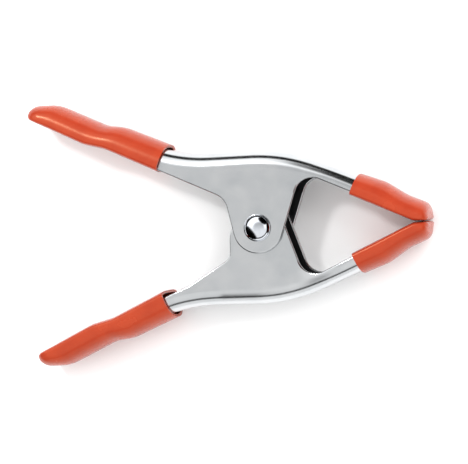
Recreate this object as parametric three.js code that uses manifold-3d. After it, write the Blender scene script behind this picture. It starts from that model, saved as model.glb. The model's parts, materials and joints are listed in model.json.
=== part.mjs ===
// Metal spring clamp: two pressed steel channels that cross at one rivet, a torsion spring inside
// them, and vinyl sleeves on the handles and the jaws. Millimetres. The clamp lies on its side:
// +Z is the rivet's axis, z = 0 is the plane it rests on, and +X runs from the rivet to the jaws.
import * as THREE from "three";
import { mergeVertices } from "three/addons/utils/BufferGeometryUtils.js";
import Module from "manifold-3d";

const wasm = await Module();
wasm.setup();

// ---- driving dimensions ----
const SHEET = 1.5; // thickness of the pressed steel
const CHANNEL = 19.6; // width of both channels, outside, at the handles and the jaws
const PLAY = 0.3; // gap between pieces that touch
const VINYL = 1.4; // wall of a sleeve
const BEND = 6; // outside radius of the bend between web and cheek

const SPINE_Y = 31.4; // height of the web above the rivet's axis, at the middle of an arm
const HANDLE_SLOPE = 20.6; // degrees that the handle rises from the middle of the arm
const HANDLE_FILLET = 66; // radius where the web turns up into the handle
const HANDLE_BREAK = -32; // x where the handle's line meets the middle's
const JAW_SLOPE = 22.8; // degrees that the jaw falls from the middle of the arm
const JAW_FILLET = 69; // radius where the web turns down into the jaw
const JAW_BREAK = 11.6; // x where the jaw's line meets the middle's
const HANDLE_END = -91; // x of the steel's end inside the grip
const JAW_END = 67.4; // x of the steel's end inside the jaw sleeve

const EAR = 10.5; // radius of the ears round the rivet
const NECK = { from: -29, to: 24, flare: 7 }; // stretch where the inner arm is narrowed to fit
const RIVET = {
  shank: 3.2,
  hole: 3.5,
  head: 5.6, // radius of the domed head
  dome: 2.6, // height of the head
  flange: 0.7, // thickness of its rim
  tail: 4.7, // radius of the formed end
  tailFlat: 4, // radius of the end's flat face
  seat: 0.15, // gap under the head and over the tail
};
const SPRING = {
  wire: 2.3,
  coil: 6.4, // radius of the coil at the middle of the wire
  turns: 4.3, // its odd part sets the angle between the legs
  pitch: 2.4,
  leg: 40.5, // length of each straight leg
};
const CUFF = { handle: [-40, 30.4], jaw: [40.4, 16.2] }; // middle of each sleeve's open end

const HALF = CHANNEL / 2;
const SLEEVE_HALF = HALF + PLAY + VINYL;
const NARROW_HALF = HALF - SHEET - PLAY; // outside of the inner arm's ears
const MID_Z = SLEEVE_HALF; // the sleeves' sides rest on z = 0

// ---- solids ----
const radians = (degrees) => (degrees * Math.PI) / 180;

// A three.js geometry as a closed solid that can be joined and cut.
function solid(geometry) {
  geometry.deleteAttribute("normal");
  geometry.deleteAttribute("uv");
  const merged = mergeVertices(geometry, 1e-3);
  return new wasm.Manifold(
    new wasm.Mesh({
      numProp: 3,
      vertProperties: new Float32Array(merged.attributes.position.array),
      triVerts: new Uint32Array(merged.index.array),
    }),
  );
}

// A solid as a named mesh with its own material.
function piece(name, body, material) {
  const mesh = body.getMesh();
  const geometry = new THREE.BufferGeometry();
  geometry.setAttribute("position", new THREE.BufferAttribute(mesh.vertProperties, 3));
  geometry.setIndex(new THREE.BufferAttribute(mesh.triVerts, 1));
  const flat = geometry.toNonIndexed();
  flat.computeVertexNormals();
  const made = new THREE.Mesh(flat, new THREE.MeshStandardMaterial(material));
  made.name = name;
  return made;
}

// A plate of the given outline, between two heights about the clamp's middle plane.
function plate(shape, low, high, segments = 6) {
  const geometry = new THREE.ExtrudeGeometry(shape, {
    depth: high - low,
    bevelEnabled: false,
    curveSegments: segments,
  });
  return solid(geometry.translate(0, 0, low));
}

// A closed outline through corners [x, y, radius], each rounded to its radius.
function rounded(corners) {
  const shape = new THREE.Shape();
  corners.forEach(([x, y, radius = 0], i) => {
    const [px, py] = corners.at(i - 1);
    const [nx, ny] = corners[(i + 1) % corners.length];
    const back = new THREE.Vector2(px - x, py - y).normalize();
    const ahead = new THREE.Vector2(nx - x, ny - y).normalize();
    const corner = new THREE.Vector2(x, y);
    const half = Math.acos(THREE.MathUtils.clamp(back.dot(ahead), -1, 1)) / 2;
    const reach = radius / Math.tan(half);
    const begin = corner.clone().addScaledVector(back, reach);
    const finish = corner.clone().addScaledVector(ahead, reach);
    if (i === 0) shape.moveTo(begin.x, begin.y);
    else shape.lineTo(begin.x, begin.y);
    if (!radius) return;
    const centre = back.clone().add(ahead).normalize().multiplyScalar(radius / Math.sin(half));
    centre.add(corner);
    const start = Math.atan2(begin.y - centre.y, begin.x - centre.x);
    const end = Math.atan2(finish.y - centre.y, finish.x - centre.x);
    shape.absarc(centre.x, centre.y, radius, start, end, back.cross(ahead) > 0);
  });
  return shape;
}

// A straight line or an arc of the web's outermost line, as a curve in three dimensions.
class WebLine extends THREE.Curve {
  constructor(flat) {
    super();
    this.flat = flat;
  }
  getPoint(t, target = new THREE.Vector3()) {
    const p = this.flat.getPoint(t);
    return target.set(p.x, p.y, 0);
  }
}

// The web's outermost line: handle, fillet, middle, fillet and jaw, from left to right.
function webLine() {
  const up = radians(HANDLE_SLOPE);
  const down = radians(JAW_SLOPE);
  const reachUp = HANDLE_FILLET * Math.tan(up / 2);
  const reachDown = JAW_FILLET * Math.tan(down / 2);
  const path = new THREE.Path();
  const handle = HANDLE_END - 5;
  path.moveTo(handle, SPINE_Y + (HANDLE_BREAK - handle) * Math.tan(up));
  path.lineTo(HANDLE_BREAK - reachUp * Math.cos(up), SPINE_Y + reachUp * Math.sin(up));
  path.absarc(
    HANDLE_BREAK + reachUp,
    SPINE_Y + HANDLE_FILLET,
    HANDLE_FILLET,
    -Math.PI / 2 - up,
    -Math.PI / 2,
    false,
  );
  path.lineTo(JAW_BREAK - reachDown, SPINE_Y);
  path.absarc(
    JAW_BREAK - reachDown,
    SPINE_Y - JAW_FILLET,
    JAW_FILLET,
    Math.PI / 2,
    Math.PI / 2 - down,
    true,
  );
  const jaw = JAW_END + 5;
  path.lineTo(jaw, SPINE_Y - (jaw - JAW_BREAK) * Math.tan(down));
  return new WebLine(path);
}

// A bar with two rounded edges, carried along the web's line: half its width, its bend radius,
// and how far its top lies below the line.
function webBar(half, bend, below) {
  const deep = 34;
  const section = new THREE.Shape();
  section.moveTo(-half, -deep);
  section.lineTo(half, -deep);
  section.lineTo(half, -below - bend);
  section.absarc(half - bend, -below - bend, bend, 0, Math.PI / 2, false);
  section.lineTo(-half + bend, -below);
  section.absarc(-half + bend, -below - bend, bend, Math.PI / 2, Math.PI, false);
  return solid(
    new THREE.ExtrudeGeometry(section, {
      steps: 26,
      curveSegments: 2,
      bevelEnabled: false,
      extrudePath: webLine(),
    }),
  );
}

// A prism seen from above the web: half widths that change along X, through the whole height.
function widths(half, narrow) {
  const { from, to, flare } = NECK;
  const edge = [
    [-110, half],
    [from - flare, half],
    [from, narrow],
    [to, narrow],
    [to + flare, half],
    [85, half],
  ];
  const shape = new THREE.Shape(
    [...edge, ...edge.map(([x, z]) => [x, -z]).reverse()].map(([x, z]) => new THREE.Vector2(x, z)),
  );
  const geometry = new THREE.ExtrudeGeometry(shape, { depth: 130, bevelEnabled: false });
  return solid(geometry.rotateX(Math.PI / 2).translate(0, 100, 0));
}

function cylinder(radius, low, high, segments = 32) {
  const circle = new THREE.Shape().absarc(0, 0, radius, 0, 2 * Math.PI, false);
  return plate(circle, low, high, segments / 2);
}

// ---- the two arms, drawn with the handle up and to the left ----
const NOSE = [
  [62.5, 2.2, 8],
  [JAW_END, 2.2, 1.6],
  [JAW_END - 0.8, 6, 2.6],
  [60.3, 8.8, 20],
  [52.4, 14.4],
];
const ABOVE = [
  [50, 45],
  [-20, 70],
];
const HANDLE_TIP = [
  [HANDLE_END, 54.4, 1.8],
  [HANDLE_END - 1, 49.6, 1.8],
];

// An arm's outline seen along the rivet: only its rear edge differs between the two arms.
const armCorners = (rear) => [
  ...NOSE,
  ...ABOVE,
  ...HANDLE_TIP,
  ...rear,
  [-10.6, -1.5],
  [0, -4],
  [10.2, -0.3],
  [18.8, 22, 7.3],
];
const OUTER_CORNERS = armCorners([[-13.4, 12.5, 8]]);
const INNER_CORNERS = armCorners([
  [-30, 22.7, 20],
  [-12.7, 12.1, 4],
  [-12.4, 2.5, 4],
]);

// A pressed channel: the rounded bar cut to the arm's outline, hollowed, and drilled.
function arm(corners, narrow) {
  const outline = plate(rounded(corners), -HALF - 1, HALF + 1);
  let outside = webBar(HALF, BEND, 0);
  let inside = webBar(HALF - SHEET, BEND - SHEET, SHEET);
  if (narrow) {
    outside = outside.intersect(widths(HALF, NARROW_HALF));
    inside = inside.intersect(widths(HALF - SHEET, NARROW_HALF - SHEET));
  }
  const half = narrow ? NARROW_HALF : HALF;
  return outside
    .intersect(outline)
    .add(cylinder(EAR, -half, half))
    .subtract(inside)
    .subtract(cylinder(EAR + 1, -half + SHEET, half - SHEET))
    .subtract(cylinder(RIVET.hole, -HALF - 2, HALF + 2));
}

// ---- sleeves ----
// The grip's outline runs from past the cuff along the outside to the tip and back along the
// inside. Each side has one finger wave.
const GRIP_CORNERS = [
  [-31, 32.9],
  [-57.8, 44.4, 18],
  [-65.4, 45.3, 16],
  [-86.5, 55.2, 14],
  [-96.8, 55.6, 4.4],
  [-99.6, 50, 3.1],
  [-94, 47.4, 8],
  [-73.6, 37.5, 16],
  [-64.6, 35.2, 16],
  [-34.2, 21],
];

// The jaw sleeve's outline: straight inside, bent outside, with a blunt rounded nose.
const TIP_CORNERS = [
  [36.6, 22.2],
  [33.3, 13.8],
  [63.6, PLAY / 2, 5],
  [69.9, PLAY / 2, 1.8],
  [69.4, 6.9, 3.8],
  [60.5, 10.7, 20],
  [52, 16.4, 14],
];

// A counter-clockwise outline moved inwards by a distance, with its corner radii to match.
function inset(corners, distance) {
  return corners.map(([x, y, radius = 0], i) => {
    const [px, py] = corners.at(i - 1);
    const [nx, ny] = corners[(i + 1) % corners.length];
    const before = new THREE.Vector2(py - y, x - px).normalize();
    const after = new THREE.Vector2(y - ny, nx - x).normalize();
    const shift = before.clone().add(after).multiplyScalar(distance / (1 + before.dot(after)));
    const turn = Math.sign(before.cross(after));
    return [x + shift.x, y + shift.y, radius && Math.max(radius - turn * distance, 0.1)];
  });
}

// The part of space on the arm's side of a sleeve's open end.
function beyondCuff([x, y], slope, side) {
  const box = new THREE.BoxGeometry(60, 60, 60).translate(30 * side, 0, 0);
  return solid(box.rotateZ(radians(slope)).translate(x, y, 0));
}

// The hollow inside a sleeve: the closed outline of the steel, larger by the play all round.
function hollow(corners) {
  const grown = new THREE.ExtrudeGeometry(rounded(corners), {
    depth: CHANNEL,
    bevelThickness: PLAY,
    bevelSize: PLAY,
    bevelSegments: 1,
    curveSegments: 2,
  });
  const bar = webBar(HALF + PLAY, BEND + PLAY, -PLAY);
  return solid(grown.translate(0, 0, -HALF)).intersect(bar);
}

// A closed sleeve: its outline with rounded edges, cut off at the cuff and hollowed.
function sleeve(outline, edge, corners, cut) {
  const outside = new THREE.ExtrudeGeometry(rounded(inset(outline, edge)), {
    depth: 2 * (SLEEVE_HALF - edge),
    bevelThickness: edge,
    bevelSize: edge,
    bevelSegments: 3,
    curveSegments: 3,
  });
  return solid(outside.translate(0, 0, edge - SLEEVE_HALF)).subtract(cut).subtract(hollow(corners));
}

// ---- rivet and spring ----
function rivet() {
  const { shank, head, dome, flange, tail, tailFlat, seat } = RIVET;
  const top = HALF + seat;
  const profile = new THREE.Path();
  profile.moveTo(0, -SLEEVE_HALF);
  profile.lineTo(tailFlat, -SLEEVE_HALF);
  profile.lineTo(tail, 0.7 - SLEEVE_HALF);
  profile.lineTo(tail, -top);
  profile.lineTo(shank, -top);
  profile.lineTo(shank, top);
  profile.lineTo(head, top);
  profile.lineTo(head, top + flange);
  profile.quadraticCurveTo(head * 0.6, top + dome, 0, top + dome);
  return solid(new THREE.LatheGeometry(profile.getPoints(8), 36).rotateX(Math.PI / 2));
}

// The spring's centre line: a straight leg, a coil round the rivet, and the other leg.
class SpringLine extends THREE.Curve {
  constructor() {
    super();
    this.arcLengthDivisions = 800;
  }
  getPoint(t, target = new THREE.Vector3()) {
    const { coil, turns, pitch, leg } = SPRING;
    const turned = 2 * Math.PI * turns;
    const along = t * (coil * turned + 2 * leg) - leg;
    const angle = THREE.MathUtils.clamp(along / coil, 0, turned);
    const over = along - angle * coil;
    const phase = angle - Math.PI * (turns % 1);
    return target.set(
      coil * Math.cos(phase) - over * Math.sin(phase),
      coil * Math.sin(phase) + over * Math.cos(phase),
      pitch * (angle / (2 * Math.PI) - turns / 2),
    );
  }
}

function spring() {
  const round = new THREE.Shape().absarc(0, 0, SPRING.wire / 2, 0, 2 * Math.PI, false);
  return solid(
    new THREE.ExtrudeGeometry(round, {
      steps: 110,
      curveSegments: 4,
      bevelEnabled: false,
      extrudePath: new SpringLine(),
    }),
  );
}

// ---- assembly ----
const steel = { color: 0xb9bcc0, roughness: 0.35, metalness: 1 };
const plated = { color: 0xaab4be, roughness: 0.25, metalness: 1 };
const springSteel = { color: 0x85878a, roughness: 0.4, metalness: 1 };
const vinyl = { color: 0xe2552f, roughness: 0.38, metalness: 0 };

const gripCut = beyondCuff(CUFF.handle, -HANDLE_SLOPE, 1);
const tipCut = beyondCuff(CUFF.jaw, -JAW_SLOPE, -1);
const grip = (corners) => sleeve(GRIP_CORNERS, 3, corners, gripCut);
const tip = (corners) => sleeve(TIP_CORNERS, 1.7, corners, tipCut);

const outer = new THREE.Group();
outer.add(
  piece("outer_arm", arm(OUTER_CORNERS, false), steel),
  piece("outer_grip", grip(OUTER_CORNERS), vinyl),
  piece("outer_jaw_tip", tip(OUTER_CORNERS), vinyl),
  piece("pivot_rivet", rivet(), plated),
  piece("torsion_spring", spring(), springSteel),
);

// The inner arm is the outer arm's twin, turned over about the long axis and narrowed at the neck.
const inner = new THREE.Group();
inner.rotation.x = Math.PI;
inner.add(
  piece("inner_arm", arm(INNER_CORNERS, true), steel),
  piece("inner_grip", grip(INNER_CORNERS), vinyl),
  piece("inner_jaw_tip", tip(INNER_CORNERS), vinyl),
);

const clamp = new THREE.Group();
clamp.position.z = MID_Z;
clamp.add(outer, inner);

const model = new THREE.Group();
model.add(clamp);
export default model;
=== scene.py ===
"""A metal spring clamp lying on its side: two plated steel arms, a rivet, a spring and vinyl sleeves."""

import json
import math

import bpy
import numpy as np
from mathutils import Matrix, Vector


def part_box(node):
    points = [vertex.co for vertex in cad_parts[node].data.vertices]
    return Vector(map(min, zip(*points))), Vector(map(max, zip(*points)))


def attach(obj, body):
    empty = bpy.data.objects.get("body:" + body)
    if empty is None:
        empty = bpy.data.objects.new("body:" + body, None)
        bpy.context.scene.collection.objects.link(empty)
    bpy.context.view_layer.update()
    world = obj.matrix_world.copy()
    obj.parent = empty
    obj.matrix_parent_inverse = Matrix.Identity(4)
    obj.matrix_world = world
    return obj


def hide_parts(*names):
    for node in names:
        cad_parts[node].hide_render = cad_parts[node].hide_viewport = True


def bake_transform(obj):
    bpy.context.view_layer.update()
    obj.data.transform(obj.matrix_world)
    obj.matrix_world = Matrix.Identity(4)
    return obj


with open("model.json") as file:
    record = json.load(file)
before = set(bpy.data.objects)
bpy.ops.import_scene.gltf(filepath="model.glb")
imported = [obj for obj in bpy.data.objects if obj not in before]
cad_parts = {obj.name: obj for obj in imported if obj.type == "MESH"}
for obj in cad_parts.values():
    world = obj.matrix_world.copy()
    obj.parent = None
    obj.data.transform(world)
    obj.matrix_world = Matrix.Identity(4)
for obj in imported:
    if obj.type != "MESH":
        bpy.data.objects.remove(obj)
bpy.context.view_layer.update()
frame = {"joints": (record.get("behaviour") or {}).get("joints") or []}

MM = 0.001

# ---- the stage ----
# A plain white table in soft studio light. A small overhead panel draws the highlights along the
# sleeves, a broad key panel stands on the jaws' side, and the plating mirrors a studio whose
# brightness goes by height, differs on the two arms' sides and has three dark patches.


def place(data, name):
    """A new object at the origin, in the scene."""
    made = bpy.data.objects.new(name, data)
    bpy.context.scene.collection.objects.link(made)
    return made


def new_material(name):
    """A node material and its Principled shader."""
    made = bpy.data.materials.new(name)
    made.use_nodes = True
    return made, made.node_tree.nodes["Principled BSDF"]


table = bpy.data.meshes.new("table")
table.from_pydata([(-3, -3, 0), (3, -3, 0), (3, 3, 0), (-3, 3, 0)], [], [(0, 1, 2, 3)])
table_finish, shader = new_material("table_white")
shader.inputs["Base Color"].default_value = (0.88, 0.88, 0.88, 1)
shader.inputs["Roughness"].default_value = 0.75
table.materials.append(table_finish)
place(table, "table")

pivot = Vector(frame["joints"][0]["pos_m"])


def light_panel(name, at, side, power):
    """A square light panel that faces the rivet."""
    data = bpy.data.lights.new(name, "AREA")
    data.shape = "RECTANGLE"
    data.size = data.size_y = side
    data.energy = power
    lamp = place(data, name)
    lamp.location = at
    lamp.rotation_euler = (pivot - Vector(at)).to_track_quat("-Z", "Y").to_euler()
    return lamp


light_panel("overhead", (-0.32, 0.40, 0.72), 0.10, 2.4)
light_panel("key", (0.75, 0.70, 0.95), 0.7, 7.5).visible_glossy = False

world = bpy.data.worlds.new("studio")
bpy.context.scene.world = world
world.use_nodes = True
tree = world.node_tree
view_direction = tree.nodes.new("ShaderNodeTexCoord").outputs["Generated"]
direction = tree.nodes.new("ShaderNodeSeparateXYZ")
tree.links.new(view_direction, direction.inputs[0])


def studio_side(bands):
    """The studio's brightness on one side: pairs of degrees above the horizon and grey. The ramp
    runs over the sine of the elevation, from straight down to straight up."""
    share = tree.nodes.new("ShaderNodeMapRange")
    share.inputs["From Min"].default_value = -1
    tree.links.new(direction.outputs["Z"], share.inputs["Value"])
    ramp = tree.nodes.new("ShaderNodeValToRGB")
    tree.links.new(share.outputs["Result"], ramp.inputs[0])
    while len(ramp.color_ramp.elements) < len(bands):
        ramp.color_ramp.elements.new(0.5)
    for element, (elevation, grey) in zip(ramp.color_ramp.elements, bands):
        element.position = (math.sin(math.radians(elevation)) + 1) / 2
        element.color = (grey, grey, grey, 1)
    return ramp.outputs[0]


def mix_colours(value, start, end, low_colour, high_colour):
    """A colour that changes from one socket's to another's as a value goes from start to end.
    None stands for black."""
    share = tree.nodes.new("ShaderNodeMapRange")
    share.inputs["From Min"].default_value = start
    share.inputs["From Max"].default_value = end
    tree.links.new(value, share.inputs["Value"])
    mixed = tree.nodes.new("ShaderNodeMix")
    mixed.data_type = "RGBA"
    tree.links.new(share.outputs["Result"], mixed.inputs[0])
    if low_colour is None:
        mixed.inputs[6].default_value = (0, 0, 0, 1)
    else:
        tree.links.new(low_colour, mixed.inputs[6])
    tree.links.new(high_colour, mixed.inputs[7])
    return mixed.outputs[2]


# Degrees above the horizon and grey, on the outer arm's side and on the inner arm's.
OUTER_SIDE = [(-90, 0.7), (0, 0.5), (3, 0), (25, 0), (31, 1), (62, 1), (71, 0.38), (90, 0.38)]
INNER_SIDE = [(-90, 0.7), (0, 0.6), (2, 0.7), (24, 0.7), (27, 0.01), (37, 0.01), (43, 0.64), (90, 0.64)]
DARK_PATCHES = [(58, 42, 23), (212, 24, 34), (2, 8, 34)]  # azimuth, elevation and radius in degrees
PATCH_EDGE = 6  # degrees over which a patch fades out
MIRRORED_STRENGTH, SOFT_STRENGTH = 1.6, 1.35

inner_side, outer_side = studio_side(INNER_SIDE), studio_side(OUTER_SIDE)
mirrored = mix_colours(direction.outputs["Y"], -0.2, 0.2, inner_side, outer_side)
for azimuth, elevation, radius in DARK_PATCHES:
    turn, rise = math.radians(azimuth), math.radians(elevation)
    facing = tree.nodes.new("ShaderNodeVectorMath")
    facing.operation = "DOT_PRODUCT"
    facing.inputs[1].default_value = (
        math.cos(rise) * math.cos(turn),
        math.cos(rise) * math.sin(turn),
        math.sin(rise),
    )
    tree.links.new(view_direction, facing.inputs[0])
    inside_edge = math.cos(math.radians(radius))
    outside_edge = math.cos(math.radians(radius + PATCH_EDGE))
    mirrored = mix_colours(facing.outputs["Value"], inside_edge, outside_edge, None, mirrored)
background = tree.nodes["Background"]
background.inputs["Strength"].default_value = MIRRORED_STRENGTH
tree.links.new(mirrored, background.inputs["Color"])

# Matt surfaces are lit by an even white studio, so that the dark parts show only as reflections.
soft = tree.nodes.new("ShaderNodeBackground")
soft.inputs["Strength"].default_value = SOFT_STRENGTH
soft.inputs["Color"].default_value = (1, 1, 1, 1)
rays = tree.nodes.new("ShaderNodeLightPath")
choice = tree.nodes.new("ShaderNodeMixShader")
tree.links.new(rays.outputs["Is Diffuse Ray"], choice.inputs[0])
tree.links.new(background.outputs[0], choice.inputs[1])
tree.links.new(soft.outputs[0], choice.inputs[2])
tree.links.new(choice.outputs[0], tree.nodes["World Output"].inputs["Surface"])

# The camera looks down on the clamp, a little from the jaws' side, with the jaws to the right.
LEAN = math.radians(15)  # off straight down
LEAN_TOWARDS = math.radians(3.8)  # direction of the lean, from +x
ROLL = math.radians(-2.2)
DISTANCE = 0.7
LENS = 130  # mm
aim = Vector((-0.0125, -0.0015, pivot.z))
look = Vector(
    (
        math.sin(LEAN) * math.cos(LEAN_TOWARDS),
        math.sin(LEAN) * math.sin(LEAN_TOWARDS),
        math.cos(LEAN),
    )
)
right = Vector((math.cos(ROLL), math.sin(ROLL), 0))
right = (right - right.dot(look) * look).normalized()
up = look.cross(right)
camera_data = bpy.data.cameras.new("camera")
camera_data.lens = LENS
camera = place(camera_data, "camera")
turned_to = Matrix((right, up, look)).transposed().to_4x4()
camera.matrix_world = Matrix.Translation(aim + look * DISTANCE) @ turned_to
bpy.context.scene.camera = camera

# ---- the two arms ----
# Each arm is a U channel pressed from 1.5 mm steel sheet and zinc plated: a web along the outside
# and a cheek on each side that spreads into an ear round the rivet. The inner arm is narrowed at
# the neck so that its ears fit between the outer arm's.

low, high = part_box("outer_arm")
HALF = (high.z - low.z) / 2  # half the channel's width
SHEET = 1.5 * MM
PLAY = 0.3 * MM  # gap between the outer arm's ears and the inner arm's
BEND = 6 * MM  # outside radius between web and cheek
EAR = 10.5 * MM  # radius
HOLE = 3.35 * MM  # radius of the rivet's holes, open by a little round its shank
WEB_Y = 31.4 * MM  # the web's distance from the pivot, midway between its first two bends
WEB_BENDS = [  # x of the corner, degrees turned, radius
    (-32 * MM, 20.6, 66 * MM),
    (11.6 * MM, -22.8, 69 * MM),
    (53 * MM, -10.5, 24 * MM),
]
HANDLE_X, NOSE_X = -91.5 * MM, 66.2 * MM
RIM = 0.5 * MM  # rounding of the sheet's cut edges
# Corners of the cheeks' free edge, in millimetres: x, y and radius.
HANDLE_END = (-93.3, 49.2, 0)
THROAT = (18.8, 22, 7.3)
NOSE = [(60.5, 3.3, 8), (64.2, 2.3, 0)]
REAR = {
    "outer_arm": [(-13.4, 12.5, 8)],
    "inner_arm": [(-30, 22.7, 20), (-12.7, 12.1, 4), (-12.4, 2.5, 8)],
}
# The neck of the inner arm: where it starts at each end, and how long the step in width is.
NECK_REAR, NECK_FRONT, NECK_STEP = -38 * MM, 36 * MM, 22 * MM


def web_line(samples=900):
    """The web's outermost line from handle to jaw: its heading turns evenly along each fillet, and
    each point is the running sum of the headings before it. Returns the points and headings."""
    x = np.linspace(HANDLE_X, NOSE_X, samples)
    heading = np.full(samples, math.radians(-WEB_BENDS[0][1]))
    for corner, degrees, radius in WEB_BENDS:
        turn = math.radians(degrees)
        reach = radius * math.tan(abs(turn) / 2)
        heading = heading + turn * np.clip((x - corner + reach) / (2 * reach), 0, 1)
    slope = np.tan(heading)
    rise = np.concatenate([[0], np.cumsum((slope[1:] + slope[:-1]) / 2 * np.diff(x))])
    middle = np.interp((WEB_BENDS[0][0] + WEB_BENDS[1][0]) / 2, x, rise)
    return np.stack([x, rise - middle + WEB_Y], 1), heading


def rounded_path(corners, step=0.35 * MM):
    """A line through corners (x, y, radius) in millimetres, each rounded by an arc that touches
    both sides, as points in metres spaced evenly along it."""
    corners = [np.array(corner, float) * MM for corner in corners]
    points = [corners[0][:2]]
    for before, at, after in zip(corners, corners[1:], corners[2:]):
        back = (before - at)[:2] / np.linalg.norm((before - at)[:2])
        ahead = (after - at)[:2] / np.linalg.norm((after - at)[:2])
        half = math.acos(np.clip(back @ ahead, -1, 1)) / 2
        radius = at[2]
        middle = back + ahead
        centre = at[:2] + middle / np.linalg.norm(middle) * radius / math.sin(half)
        begin = at[:2] + back * radius / math.tan(half)
        sweep = math.pi - 2 * half
        count = max(int(radius * sweep / step), 3)
        turned = np.linspace(0, sweep, count) * (-1 if back[0] * ahead[1] > back[1] * ahead[0] else 1)
        arm = begin - centre
        points += [
            centre + np.array([arm[0] * c - arm[1] * s, arm[0] * s + arm[1] * c])
            for c, s in zip(np.cos(turned), np.sin(turned))
        ]
    points.append(corners[-1][:2])
    points = np.array(points)
    along = np.concatenate([[0], np.cumsum(np.linalg.norm(np.diff(points, axis=0), axis=1))])
    even = np.linspace(0, along[-1], int(along[-1] / step))
    return np.stack([np.interp(even, along, points[:, i]) for i in (0, 1)], 1)


def ear_corner(rear, throat):
    """Where the two lines from the given corners that touch the ear's circle would meet, below."""
    ear = EAR / MM
    from_rear = math.atan2(rear[1], rear[0]) + math.acos(ear / math.hypot(rear[0], rear[1]))
    from_throat = math.atan2(throat[1], throat[0]) - math.acos(ear / math.hypot(throat[0], throat[1]))
    from_throat += 2 * math.pi
    middle = (from_rear + from_throat) / 2
    far = ear / math.cos((from_throat - from_rear) / 2)
    return (far * math.cos(middle), far * math.sin(middle), ear)


def arm_outline(rear):
    """The cheek's free edge, from the handle's end round the ear to the nose."""
    return rounded_path([HANDLE_END, *rear, ear_corner(rear[-1], THROAT), THROAT, *NOSE])


def nearest(line, point):
    """How far along an evenly spaced line the point nearest to the given one is, from 0 to 1."""
    return np.argmin(np.linalg.norm(line - np.array(point), axis=1)) / (len(line) - 1)


def half_width(x, narrow):
    """Half the channel's width at x: narrowed at the neck by an eased step, or the same all along."""
    if not narrow:
        return np.full_like(x, HALF)
    handle_side = np.clip((x - NECK_REAR) / NECK_STEP, 0, 1)
    jaw_side = np.clip((NECK_FRONT - x) / NECK_STEP, 0, 1)
    step = np.minimum(handle_side, jaw_side)
    return HALF - (SHEET + PLAY) * step * step * (3 - 2 * step)


def new_piece(name, points, faces, node, finish):
    """A smooth piece from points about the pivot and faces, which stands for a CAD node."""
    mesh = bpy.data.meshes.new(name)
    mesh.from_pydata((points + (0, 0, pivot.z)).tolist(), [], faces)
    mesh.update()
    mesh.polygons.foreach_set("use_smooth", np.ones(len(mesh.polygons), bool))
    mesh.materials.append(finish)
    made = place(mesh, name)
    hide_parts(node)
    return made


def grid_faces(index):
    """Four-sided faces between the rows and columns of an array of vertex numbers."""
    return np.stack([index[:-1, :-1], index[1:, :-1], index[1:, 1:], index[:-1, 1:]], -1)


STATIONS, CHEEK_ROWS, BEND_STEPS, RIM_STEPS = 320, 28, 10, 4
WEB_ROWS = np.array([0.66, 0.33, 0])[:, None]  # as shares of the flat web's half width
BEND_SHARE = 0.8  # the most of the channel's depth that a bend takes
EDGE_WINDOW, BEND_WINDOW = 13, 41  # stations over which the free edge and the bend are evened out
DRILLED = 5.4 * MM  # half the side of the block of cells that the rivet's hole replaces
HOLE_RINGS = (0.4, 0.75, 1)  # as shares of the way from the block's border to the hole


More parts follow.
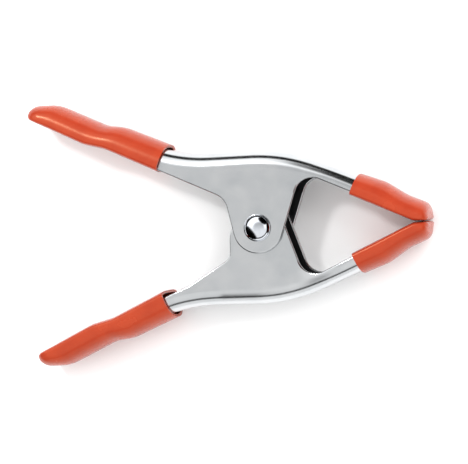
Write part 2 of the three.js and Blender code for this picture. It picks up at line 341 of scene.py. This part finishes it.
def channel(rear, narrow):
    """An arm as one closed grid. Each station across the web's line is a loop: from the top cheek's
    free edge over the bend, the web and the other bend to the bottom cheek's free edge, round the
    cut edge, back along the inside one sheet thickness in, and round the top cheek's cut edge.
    Cheeks are straight between bend and free edge; bends and cut edges are circular arcs."""
    line, heading = web_line()
    edge = arm_outline(rear)
    keys = [  # which points of the web and of the free edge face each other across a cheek
        (HANDLE_X, 0),
        (-14.5 * MM, nearest(edge, (-13 * MM, 12.3 * MM))),
        (-9.5 * MM, nearest(edge, (-EAR, 2 * MM))),
        (0, nearest(edge, (0, -EAR))),
        (9.5 * MM, nearest(edge, (EAR * 0.95, -3.4 * MM))),
        (24.5 * MM, nearest(edge, (20 * MM, 19 * MM))),
        (NOSE_X, 1),
    ]
    x = np.linspace(HANDLE_X, NOSE_X, STATIONS)
    at = np.interp(x, [k[0] for k in keys], [k[1] for k in keys]) * (len(edge) - 1)
    at = np.pad(at, EDGE_WINDOW // 2, mode="reflect", reflect_type="odd")
    at = np.convolve(at, np.ones(EDGE_WINDOW) / EDGE_WINDOW, "valid")
    free = np.stack([np.interp(at, np.arange(len(edge)), edge[:, i]) for i in (0, 1)], 1)
    away = np.gradient(free, axis=0)[:, ::-1] * (1, -1)
    away /= np.linalg.norm(away, axis=1)[:, None]
    cut = free - away * RIM
    web = np.stack([x, np.interp(x, line[:, 0], line[:, 1])], 1)
    turn = np.interp(x, line[:, 0], heading)
    inward = np.stack([np.sin(turn), -np.cos(turn)], 1)
    radius = np.minimum(BEND, BEND_SHARE * np.sum((free - web) * inward, 1))
    weights = np.hanning(BEND_WINDOW + 2)[1:-1]
    radius = np.pad(radius, BEND_WINDOW // 2, mode="edge")
    radius = np.convolve(radius, weights / weights.sum(), "valid")
    rows = np.concatenate([[0, 0.01], np.linspace(0.04, 1, CHEEK_ROWS - 2)])[:, None, None]
    cheek = cut * (1 - rows) + (web + inward * radius[:, None]) * rows
    angle = np.linspace(math.pi / 2, 0, BEND_STEPS + 1)[1:, None]
    first_web_row = -len(WEB_ROWS)
    layers = []
    for inset in (0, SHEET):
        bend = web + inward * (radius - (radius - inset) * np.cos(angle))[..., None]
        flat = np.repeat((web + inward * inset)[None], len(WEB_ROWS), 0)
        plan = np.concatenate([cheek, bend, flat])
        half = half_width(plan[..., 0], narrow)
        level = half - inset
        on_bend = half[CHEEK_ROWS:first_web_row]
        level[CHEEK_ROWS:first_web_row] = on_bend - radius + (radius - inset) * np.sin(angle)
        level[first_web_row:] = (half[first_web_row:] - radius) * WEB_ROWS
        top = np.concatenate([plan, level[..., None]], -1)
        layers.append(np.concatenate([top, top[-2::-1] * (1, 1, -1)]))
    outside, inside = layers
    angle = np.linspace(0, math.pi / 2, RIM_STEPS + 1)[:-1]
    angle = np.concatenate([-angle[:0:-1], [-0.001], angle])[:, None]
    straight = (SHEET / 2 - RIM) * np.sign(angle + 0.0005)
    plan = cut + away * (RIM * np.cos(angle))[..., None]
    level = half_width(cut[:, 0], narrow) - SHEET / 2 + straight + RIM * np.sin(angle)
    rim = np.concatenate([plan, level[..., None]], -1)
    loop = np.concatenate([outside, rim[::-1] * (1, 1, -1), inside[::-1], rim])
    return join(loop.transpose(1, 0, 2), len(outside), len(rim))


def join(grid, across, rim):
    """The channel's loops joined into faces, with both cheeks drilled and both ends closed. Returns
    the points, the faces, and for each face whether it lies inside the channel."""
    points = grid.reshape(-1, 3)
    index = np.arange(len(points)).reshape(grid.shape[:2])
    within = np.zeros(len(points), bool)
    within[index[:, across + rim : 2 * across + rim]] = True
    faces = grid_faces(np.concatenate([index, index[:, :1]], 1)).reshape(-1, 4)
    top_outside, top_inside = index[:, :CHEEK_ROWS], index[:, ::-1][:, rim : rim + CHEEK_ROWS]
    low_outside = index[:, across - 1 :: -1][:, :CHEEK_ROWS]
    low_inside = index[:, across + rim :][:, :CHEEK_ROWS]
    for outside, inside, order in ((top_outside, top_inside, -1), (low_outside, low_inside, 1)):
        points, faces, within = drill(points, faces, within, outside, inside, order)
    faces = faces.tolist() + end_faces(index, across, rim)
    used = np.unique(np.concatenate(faces))
    renumbered = np.zeros(len(points), int)
    renumbered[used] = np.arange(len(used))
    inner_faces = np.array([within[face].all() for face in faces])
    return points[used], [renumbered[face].tolist() for face in faces], inner_faces


def drill(points, faces, within, outside, inside, order):
    """Cuts the rivet's hole through one cheek, given as the vertex numbers of its two sides. A
    block of cells on each side gives way to rings that change evenly from the block's border to a
    circle, and the two circles are joined through the sheet."""
    station, row = np.nonzero(np.all(np.abs(points[outside][..., :2]) < DRILLED, -1))
    i0, i1, r0, r1 = station.min(), station.max(), row.min(), row.max()
    rings = []
    for side in (outside, inside):
        block = np.zeros(len(points), bool)
        block[side[i0 : i1 + 1, r0 : r1 + 1]] = True
        faces = faces[~block[faces].all(1)]
        border = np.concatenate(
            [side[i0:i1, r0], side[i1, r0:r1], side[i1:i0:-1, r1], side[i0, r1:r0:-1]]
        )
        start = points[border]
        circle = start / np.linalg.norm(start[:, :2], axis=1)[:, None] * HOLE
        circle[:, 2] = start[:, 2]
        made = [border]
        for part in HOLE_RINGS:
            made.append(len(points) + np.arange(len(border)))
            points = np.concatenate([points, start * (1 - part) + circle * part])
            within = np.append(within, np.full(len(border), side is inside))
        rings += made if side is outside else made[::-1]
    rings = np.array(rings)
    rings = grid_faces(np.concatenate([rings, rings[:, :1]], 1)).reshape(-1, 4)
    return points, np.concatenate([faces, rings[:, ::order]]), within


def end_faces(index, across, rim):
    """Faces that close both ends of a channel: a strip between its outside and its inside, and one
    face in each cheek's rounded cut edge."""
    faces = []
    for station, order in ((0, 1), (-1, -1)):
        outside = index[station, :across]
        inside = index[station, across + rim : 2 * across + rim][::-1]
        strip = np.stack([outside[:-1], outside[1:], inside[1:], inside[:-1]], 1)
        low_cut = index[station, across - 1 : across + rim + 1]
        top_cut = np.append(index[station, 2 * across + rim - 1 :], index[station, 0])
        faces += [face[::order].tolist() for face in (*strip, low_cut, top_cut)]
    return faces


def noise(tree, scale, detail):
    """Noise on object coordinates, with features of about 1/scale metres."""
    made = tree.nodes.new("ShaderNodeTexNoise")
    made.inputs["Scale"].default_value = scale
    made.inputs["Detail"].default_value = detail
    place_on_piece = tree.nodes.new("ShaderNodeTexCoord").outputs["Object"]
    tree.links.new(place_on_piece, made.inputs["Vector"])
    return made.outputs["Fac"]


def between(tree, factor, low_value, high_value):
    """A value that runs between two numbers as the noise runs through the middle of its range."""
    made = tree.nodes.new("ShaderNodeMapRange")
    made.inputs["From Min"].default_value = 0.3
    made.inputs["From Max"].default_value = 0.7
    made.inputs["To Min"].default_value = low_value
    made.inputs["To Max"].default_value = high_value
    tree.links.new(factor, made.inputs["Value"])
    return made.outputs["Result"]


def tint(tree, factor, dark, light):
    """A colour that runs between two as the noise runs through the middle of its range."""
    made = tree.nodes.new("ShaderNodeValToRGB")
    made.color_ramp.elements[0].position = 0.3
    made.color_ramp.elements[1].position = 0.7
    made.color_ramp.elements[0].color = (*dark, 1)
    made.color_ramp.elements[1].color = (*light, 1)
    tree.links.new(factor, made.inputs[0])
    return made.outputs[0]


def bump(tree, shader, height, depth):
    """Bumps of the given depth in metres."""
    made = tree.nodes.new("ShaderNodeBump")
    made.inputs["Distance"].default_value = depth
    made.inputs["Strength"].default_value = 1
    tree.links.new(height, made.inputs["Height"])
    tree.links.new(made.outputs["Normal"], shader.inputs["Normal"])


# Bright zinc plate over rolled sheet: a satin mirror with faint cloudy patches.
zinc, shader = new_material("zinc_plate")
tree = zinc.node_tree
shader.inputs["Metallic"].default_value = 1
clouds = noise(tree, 90, 5)
tree.links.new(tint(tree, clouds, (0.57, 0.59, 0.605), (0.65, 0.66, 0.67)), shader.inputs["Base Color"])
tree.links.new(between(tree, clouds, 0.17, 0.20), shader.inputs["Roughness"])
bump(tree, shader, noise(tree, 1500, 3), 0.004 * MM)

# Painted shade: the plating inside the channel is coloured near black and made duller, standing in for
# the shade inside the channel.
shade_painted_zinc, shader = new_material("zinc_plate_painted_shade_inside")
tree = shade_painted_zinc.node_tree
shader.inputs["Metallic"].default_value = 1
clouds = noise(tree, 140, 4)
tree.links.new(tint(tree, clouds, (0.05, 0.05, 0.052), (0.08, 0.08, 0.083)), shader.inputs["Base Color"])
tree.links.new(between(tree, clouds, 0.32, 0.42), shader.inputs["Roughness"])

ARMS = {  # the body, whether the arm is narrowed at the neck, and which way up it lies
    "outer_arm": ("outer_half", False, 1),
    "inner_arm": ("inner_half", True, -1),
}
for node, (body, narrow, turned) in ARMS.items():
    points, faces, inner_faces = channel(REAR[node], narrow)
    points = points * (1, turned, turned)
    made = new_piece(node + "_sheet", points, faces, node, zinc)
    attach(made, body)
    # The faces inside the channel take the painted-shade plating.
    made.data.materials.append(shade_painted_zinc)
    made.data.polygons.foreach_set("material_index", inner_faces.astype(int))
    even_shading = made.modifiers.new("flat_faces_lead", "WEIGHTED_NORMAL")
    even_shading.keep_sharp = True

# ---- the vinyl sleeves: two grips and two jaw tips ----
# Each is a thin pocket of orange vinyl pushed over the end of an arm: the handles' are waved for
# the fingers, the jaws' have a flat nose. They hold by their own squeeze and end in a plain cuff.

VINYL = 1.1 * MM
low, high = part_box("outer_grip")
SLEEVE_HALF = (high.z - low.z) / 2
CREST = 0.76  # the crest's share of the section's width, from the web's side
WEB_SIDE, OPEN_SIDE = 2.3, 4.0  # exponents of the section's two halves
AROUND = 104  # points in a section
CUFF_RIM = 0.4 * MM
HANDLE_SLOPE, JAW_SLOPE = math.radians(20.6), math.radians(22.8)
# A sleeve's side outline in millimetres, from the web's side round the closed end, the middle of
# its cuff, the direction in which it is pushed on, and how far its flat sides round off at the end.
GRIP = dict(
    corners=[
        (-31, 32.9, 0),
        (-57.8, 44.4, 18),
        (-65.4, 45.3, 16),
        (-86.5, 55.2, 14),
        (-96.8, 55.6, 4.4),
        (-99.6, 50, 3.1),
        (-94, 47.4, 8),
        (-73.6, 37.5, 16),
        (-64.6, 35.2, 16),
        (-34.2, 21, 0),
    ],
    cuff=(-40, 30.4),
    ahead=(-math.cos(HANDLE_SLOPE), math.sin(HANDLE_SLOPE)),
    end=6,
)
JAW_TIP = dict(
    corners=[
        (36.6, 22.2, 0),
        (52, 16.4, 14),
        (60.5, 10.7, 20),
        (69.4, 6.9, 3.8),
        (69.9, 0.15, 1.8),
        (63.6, 0.15, 5),
        (33.3, 13.8, 0),
    ],
    cuff=(40.4, 16.2),
    ahead=(math.cos(JAW_SLOPE), -math.sin(JAW_SLOPE)),
    end=4,
)


def sleeve(corners, cuff, ahead, end, stations=120):
    """A pocket closed at its end. Stations lie across the arm's direction, closer together towards
    the end. Each section is a superellipse in two halves that meet at the crest, and its depth
    falls along a quarter ellipse over the last few millimetres."""
    path = rounded_path(corners, 0.15 * MM)
    start = np.array(cuff) * MM
    ahead = np.array(ahead)
    outward = np.array([ahead[1], -ahead[0]]) * -np.sign(ahead[0])
    along_path, across_path = (path - start) @ ahead, (path - start) @ outward
    tip = np.argmax(along_path)
    length = along_path[tip]
    along = length * (1 - (1 - np.linspace(0, 1, stations)) ** 2.2) * 0.9999
    outer = np.interp(along, along_path[: tip + 1], across_path[: tip + 1])
    inner = np.interp(along, along_path[: tip - 1 : -1], across_path[: tip - 1 : -1])
    near = np.clip((along - length) / (end * MM) + 1, 0, 1)
    depth = SLEEVE_HALF - end * MM * (1 - np.sqrt(1 - near**2))
    angle = np.linspace(0, 2 * math.pi, AROUND + 1)[:-1]
    cosine, sine = np.cos(angle), np.sin(angle)
    power = np.where(cosine > 0, 2 / WEB_SIDE, 2 / OPEN_SIDE)
    crest = (outer + CREST * (inner - outer))[:, None]
    reach = np.where(cosine > 0, outer[:, None] - crest, crest - inner[:, None])
    across = crest + reach * np.sign(cosine) * np.abs(cosine) ** power
    level = depth[:, None] * np.sign(sine) * np.abs(sine) ** power
    plan = start + along[:, None, None] * ahead + across[..., None] * outward
    points = np.concatenate([plan, level[..., None]], -1)
    index = np.arange(stations * AROUND).reshape(stations, AROUND)
    index = np.concatenate([index, index[:, :1]], 1)
    faces = grid_faces(index).reshape(-1, 4).tolist() + [index[-1, -2::-1].tolist()]
    if ahead[0] > 0:
        faces = [face[::-1] for face in faces]
    return points.reshape(-1, 3), faces


vinyl, shader = new_material("orange_vinyl")
tree = vinyl.node_tree
shader.inputs["IOR"].default_value = 1.5
shader.inputs["Specular Tint"].default_value = (1, 0.72, 0.45, 1)
shader.inputs["Subsurface Weight"].default_value = 0.05
shader.inputs["Subsurface Radius"].default_value = (0.004, 0.0012, 0.0006)
patches = noise(tree, 120, 3)
orange = tint(tree, patches, (0.34, 0.032, 0.012), (0.39, 0.040, 0.014))
tree.links.new(orange, shader.inputs["Base Color"])
tree.links.new(between(tree, patches, 0.23, 0.28), shader.inputs["Roughness"])
bump(tree, shader, noise(tree, 700, 3), 0.02 * MM)

SLEEVES = {  # the shape, which way up it lies, and the body
    "outer_grip": (GRIP, 1, "outer_half"),
    "outer_jaw_tip": (JAW_TIP, 1, "outer_half"),
    "inner_grip": (GRIP, -1, "inner_half"),
    "inner_jaw_tip": (JAW_TIP, -1, "inner_half"),
}
for node, (shape, turned, body) in SLEEVES.items():
    points, faces = sleeve(**shape)
    points = points * (1, turned, turned)
    made = new_piece(node + "_sleeve", points, faces, node, vinyl)
    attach(made, body)
    wall = made.modifiers.new("wall", "SOLIDIFY")
    wall.thickness = VINYL
    wall.offset = -1
    rim = made.modifiers.new("cuff_rim", "BEVEL")
    rim.width = CUFF_RIM
    rim.segments = 3
    rim.limit_method = "ANGLE"
    rim.angle_limit = math.radians(60)
    rim.harden_normals = True

# ---- the pivot rivet ----
# A solid steel rivet with a polished domed head, set through both pairs of ears and the spring's
# coil, and hammered flat on the far side.

low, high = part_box("pivot_rivet")
HEAD, SHANK, TAIL, TAIL_FLAT = 5.6 * MM, 3.1 * MM, 4.7 * MM, 4 * MM  # radii
TAIL_EDGE, TAIL_CORNER = 0.7 * MM, 0.1 * MM
FLANGE, FLANGE_EDGE = 0.7 * MM, 0.35 * MM  # the head's rim under its dome: height and rounding
DOME = HEAD - 0.3 * MM
SEAT = HALF + 0.12 * MM
DOME_FOOT = SEAT + 0.7 * FLANGE


def turned_profile(profile, steps=96):
    """The profile's points (radius, height) carried round the pivot's axis; its first and last points
    lie on the axis and become single points."""
    profile = np.array(profile)
    angle = np.linspace(0, 2 * math.pi, steps + 1)[:-1]
    ring = profile[1:-1]
    side = np.stack(
        [
            ring[:, :1] * np.cos(angle),
            ring[:, :1] * np.sin(angle),
            np.repeat(ring[:, 1:], steps, 1),
        ],
        -1,
    )
    points = np.concatenate(
        [side.reshape(-1, 3), [[0, 0, profile[0, 1]], [0, 0, profile[-1, 1]]]]
    )
    index = np.arange(len(ring) * steps).reshape(len(ring), steps)
    index = np.concatenate([index, index[:, :1]], 1)
    bottom, top = len(points) - 2, len(points) - 1
    faces = grid_faces(index)[..., ::-1].reshape(-1, 4).tolist()
    first, last = index[0].tolist(), index[-1].tolist()
    faces += [(bottom, b, a) for a, b in zip(first[:-1], first[1:])]
    faces += [(top, a, b) for a, b in zip(last[:-1], last[1:])]
    return points, faces


def arc(centre, radii, begin, end, count):
    """Points along a part of an ellipse, in degrees."""
    angle = np.radians(np.linspace(begin, end, count))
    return np.stack([centre[0] + radii[0] * np.cos(angle), centre[1] + radii[1] * np.sin(angle)], 1)


top = high.z - pivot.z
bottom = low.z - pivot.z
profile = np.concatenate(
    [
        [(0, bottom)],
        arc((TAIL_FLAT, bottom + TAIL_EDGE), (TAIL - TAIL_FLAT, TAIL_EDGE), -90, 0, 8),
        [(TAIL, -SEAT - TAIL_CORNER), (TAIL - TAIL_CORNER, -SEAT), (SHANK, -SEAT), (SHANK, SEAT)],
        arc((HEAD - FLANGE_EDGE, SEAT + FLANGE / 2), (FLANGE_EDGE, FLANGE / 2), -90, 60, 10),
        arc((0, DOME_FOOT), (DOME, top - DOME_FOOT), 3, 90, 30),
    ]
)
polished, shader = new_material("polished_steel")
tree = polished.node_tree
shader.inputs["Metallic"].default_value = 1
wear = noise(tree, 260, 4)
tree.links.new(tint(tree, wear, (0.70, 0.73, 0.78), (0.78, 0.81, 0.86)), shader.inputs["Base Color"])
tree.links.new(between(tree, wear, 0.07, 0.12), shader.inputs["Roughness"])
bump(tree, shader, noise(tree, 900, 3), 0.003 * MM)
points, faces = turned_profile(profile)
made = new_piece("rivet_turned", points, faces, "pivot_rivet", polished)
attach(made, "outer_half")

# ---- the torsion spring ----
# Hard-drawn steel wire wound round the rivet between the ears. Each straight leg presses on the
# inside of one arm's web and holds the jaws shut.

WIRE, COIL, PITCH, LEG = 2.3 * MM, 6.4 * MM, 2.4 * MM, 40.5 * MM  # thickness, radius, rise, length
COIL_TURNS = 4.3
CUT_END = 0.7  # the wire's rounded ends, as a share of its thickness


def wound_wire(steps=420, around=14):
    """A straight leg, a helix and a straight leg. The angle grows with the length along the wire
    inside the coil, the legs leave along its tangents, and a circle is carried along the line."""
    turned = 2 * math.pi * COIL_TURNS
    along = np.linspace(0, COIL * turned + 2 * LEG, steps) - LEG
    angle = np.clip(along / COIL, 0, turned)
    over = along - angle * COIL
    phase = angle - math.pi * (COIL_TURNS % 1)
    line = np.stack(
        [
            COIL * np.cos(phase) - over * np.sin(phase),
            COIL * np.sin(phase) + over * np.cos(phase),
            PITCH * (angle / (2 * math.pi) - COIL_TURNS / 2),
        ],
        1,
    )
    ahead = np.gradient(line, axis=0)
    ahead /= np.linalg.norm(ahead, axis=1)[:, None]
    outward = np.stack([np.cos(phase), np.sin(phase), np.zeros(steps)], 1)
    third = np.cross(ahead, outward)
    turn = np.linspace(0, 2 * math.pi, around + 1)[:-1]
    thickness = np.full((steps, 1, 1), WIRE)
    thickness[[0, -1]] *= CUT_END
    ring = thickness / 2 * (
        np.cos(turn)[:, None] * outward[:, None] + np.sin(turn)[:, None] * third[:, None]
    )
    points = line[:, None] + ring
    index = np.arange(steps * around).reshape(steps, around)
    index = np.concatenate([index, index[:, :1]], 1)
    faces = grid_faces(index)[..., ::-1].reshape(-1, 4).tolist()
    faces += [index[0, -2::-1].tolist(), index[-1, :-1].tolist()]
    return points.reshape(-1, 3), faces


wire, shader = new_material("spring_wire")
tree = wire.node_tree
shader.inputs["Metallic"].default_value = 1
drawn = noise(tree, 400, 4)
tree.links.new(tint(tree, drawn, (0.30, 0.30, 0.31), (0.40, 0.40, 0.41)), shader.inputs["Base Color"])
tree.links.new(between(tree, drawn, 0.28, 0.4), shader.inputs["Roughness"])
bump(tree, shader, drawn, 0.01 * MM)
points, faces = wound_wire()
spring = new_piece("spring_wound", points, faces, "torsion_spring", wire)
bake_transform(spring)

bpy.context.scene.view_settings.view_transform = "Standard"
